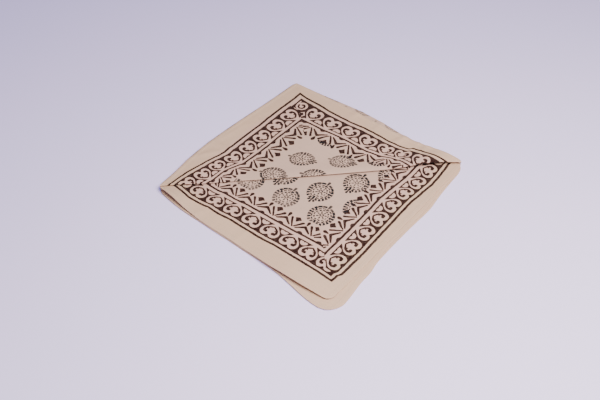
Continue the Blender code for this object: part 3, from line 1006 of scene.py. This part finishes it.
def stitch_tree(material):
    """Stitches laid end to end along each line of the mesh that the tree is given."""
    tree = bpy.data.node_groups.new("hem_stitches", "GeometryNodeTree")
    tree.interface.new_socket("Geometry", in_out="INPUT", socket_type="NodeSocketGeometry")
    for name in ("Pitch", "Length", "Thread"):
        tree.interface.new_socket(name, in_out="INPUT", socket_type="NodeSocketFloat")
    tree.interface.new_socket("Geometry", in_out="OUTPUT", socket_type="NodeSocketGeometry")
    given = tree.nodes.new("NodeGroupInput")
    out = tree.nodes.new("NodeGroupOutput")
    curve = tree.nodes.new("GeometryNodeMeshToCurve")
    resample = tree.nodes.new("GeometryNodeResampleCurve")
    resample.mode = "LENGTH"
    bead = tree.nodes.new("GeometryNodeMeshUVSphere")
    bead.inputs["Segments"].default_value = BEAD_SEGMENTS
    bead.inputs["Rings"].default_value = BEAD_RINGS
    bead.inputs["Radius"].default_value = 0.5
    bead_size = tree.nodes.new("ShaderNodeCombineXYZ")
    tangent = tree.nodes.new("GeometryNodeInputTangent")
    align = tree.nodes.new("FunctionNodeAlignRotationToVector")
    align.axis = "X"
    beads = tree.nodes.new("GeometryNodeInstanceOnPoints")
    realise = tree.nodes.new("GeometryNodeRealizeInstances")
    smooth = tree.nodes.new("GeometryNodeSetShadeSmooth")
    finish = tree.nodes.new("GeometryNodeSetMaterial")
    finish.inputs["Material"].default_value = material
    links = (
        (given, "Geometry", curve, "Mesh"),
        (curve, "Curve", resample, "Curve"),
        (given, "Pitch", resample, "Length"),
        (resample, "Curve", beads, "Points"),
        (bead, "Mesh", beads, "Instance"),
        (tangent, "Tangent", align, "Vector"),
        (align, "Rotation", beads, "Rotation"),
        (given, "Length", bead_size, "X"),
        (given, "Thread", bead_size, "Y"),
        (given, "Thread", bead_size, "Z"),
        (bead_size, "Vector", beads, "Scale"),
        (beads, "Instances", realise, "Geometry"),
        (realise, "Geometry", smooth, "Geometry"),
        (smooth, "Geometry", finish, "Geometry"),
        (finish, "Geometry", out, "Geometry"),
    )
    for giver, output, taker, taken in links:
        tree.links.new(giver.outputs[output], taker.inputs[taken])
    return tree


def stitch_lines():
    """The lines that the stitches follow, just outside each face of the hem, as a mesh of edges."""
    low_u, high_u = LOW_U + STITCH_LINE, SIDE - STITCH_LINE
    low_v, high_v = LOW_V + STITCH_LINE, SIDE - STITCH_LINE
    corners = ((low_u, low_v), (high_u, low_v), (high_u, high_v), (low_u, high_v))
    points, edges = [], []
    for side in (-1, 1):
        first = len(points)
        for (from_u, from_v), (to_u, to_v) in zip(corners, corners[1:] + corners[:1]):
            count = round((abs(to_u - from_u) + abs(to_v - from_v)) / STITCH_LINE_STEP)
            for n in range(count):
                u = from_u + (to_u - from_u) * n / count
                v = from_v + (to_v - from_v) * n / count
                point = laid(u, v, side * (half_thickness(u, v) + THREAD_OUT))
                point.z = max(point.z, THREAD_THICKNESS / 2)
                points.append(point)
        edges += [(n, n + 1) for n in range(first, len(points) - 1)]
    mesh = bpy.data.meshes.new("stitch_lines")
    mesh.from_pydata(points, edges, [])
    return mesh


def thread():
    material, tree, shader = blank("cotton_thread")
    shader.inputs["Roughness"].default_value = 0.8
    place = Value(tree.nodes.new("ShaderNodeTexCoord").outputs["Object"])
    colour = mixed(grain(place, THREAD_GRAIN, 2.0), THREAD_COLOUR, THREAD_SHADE)
    tree.links.new(colour.socket, shader.inputs["Base Color"])
    return material


lines = placed("stitch_lines", stitch_lines())
stitching = lines.modifiers.new("stitches", "NODES")
stitching.node_group = stitch_tree(thread())
sizes = {"Pitch": STITCH_PITCH, "Length": STITCH_LENGTH, "Thread": THREAD_THICKNESS}
for item in stitching.node_group.interface.items_tree:
    if item.in_out == "INPUT" and item.name in sizes:
        stitching[item.identifier] = sizes[item.name]
bpy.context.view_layer.update()
made = bpy.data.meshes.new_from_object(lines.evaluated_get(bpy.context.evaluated_depsgraph_get()))
made.name = "hem_stitches"
bpy.data.objects.remove(lines)
stitches = placed("hem_stitches", made)
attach(stitches, "root")


# The floor and the light
# A plain pale lavender-grey floor under one soft lamp, to the right of the camera, and a weak wide one
# behind. Painted light: the floor glows a little, cool blue, round the cloth, which makes the paper look
# cool under the warm lamp.

FLOOR_COLOUR = (0.76, 0.70, 1.0, 1)
FAR_FLOOR_COLOUR = (0.80, 0.79, 0.84, 1)
# The floor's painted light: the colour and the strength of a cool glow round the cloth, which is no lamp
PAINTED_FLOOR_LIGHT = (0.16, 0.12, 1.0, 1)
PAINTED_LIGHT_STRENGTH, GLOW_REACH = 0.26, 1.7  # it fades over the last of these metres from the cloth
FLOOR_HALF = 3.0

# Each lamp's name, place, aim, width, power and colour
LAMPS = (
    ("near_lamp", (0.62, -0.20, 0.96), (0.1, -0.1, 0), 0.55, 31, (1.0, 0.90, 0.80)),
    ("far_lamp", (-0.3, 0.5, 1.6), (0, 0, 0), 1.2, 1, (1.0, 0.92, 0.84)),
)
WORLD_COLOUR = (0.92, 0.89, 1.0, 1)
WORLD_STRENGTH = 0.31


def floor_finish():
    material, tree, shader = blank("backdrop")
    shader.inputs["Roughness"].default_value = 0.9
    shader.inputs["Specular IOR Level"].default_value = 0.1
    place = Value(tree.nodes.new("ShaderNodeTexCoord").outputs["Object"])
    near = worked("ADD", GLOW_REACH - worked_vector("LENGTH", place), 0, held=True)
    colour = mixed(near, FAR_FLOOR_COLOUR, FLOOR_COLOUR)
    tree.links.new(colour.socket, shader.inputs["Base Color"])
    # Painted light: the floor glows cool blue near the cloth, fading further out
    shader.inputs["Emission Color"].default_value = PAINTED_FLOOR_LIGHT
    tree.links.new((near * PAINTED_LIGHT_STRENGTH).socket, shader.inputs["Emission Strength"])
    return material


def soft_lamp(name, place, aim, width, power, colour):
    lamp = bpy.data.lights.new(name, "AREA")
    lamp.shape = "SQUARE"
    lamp.size = width
    lamp.energy = power
    lamp.color = colour
    holder = placed(name, lamp)
    holder.location = place
    holder.rotation_euler = (Vector(aim) - Vector(place)).to_track_quat("-Z", "Y").to_euler()


ground = bpy.data.meshes.new("floor")
ways = ((-1, -1), (1, -1), (1, 1), (-1, 1))
ground.from_pydata([(x * FLOOR_HALF, y * FLOOR_HALF, 0) for x, y in ways], [], [(0, 1, 2, 3)])
ground.materials.append(floor_finish())
floor = placed("floor", ground)

for lamp_values in LAMPS:
    soft_lamp(*lamp_values)
world = bpy.data.worlds.new("studio")
scene.world = world
world.use_nodes = True
world.node_tree.nodes["Background"].inputs["Color"].default_value = WORLD_COLOUR
world.node_tree.nodes["Background"].inputs["Strength"].default_value = WORLD_STRENGTH
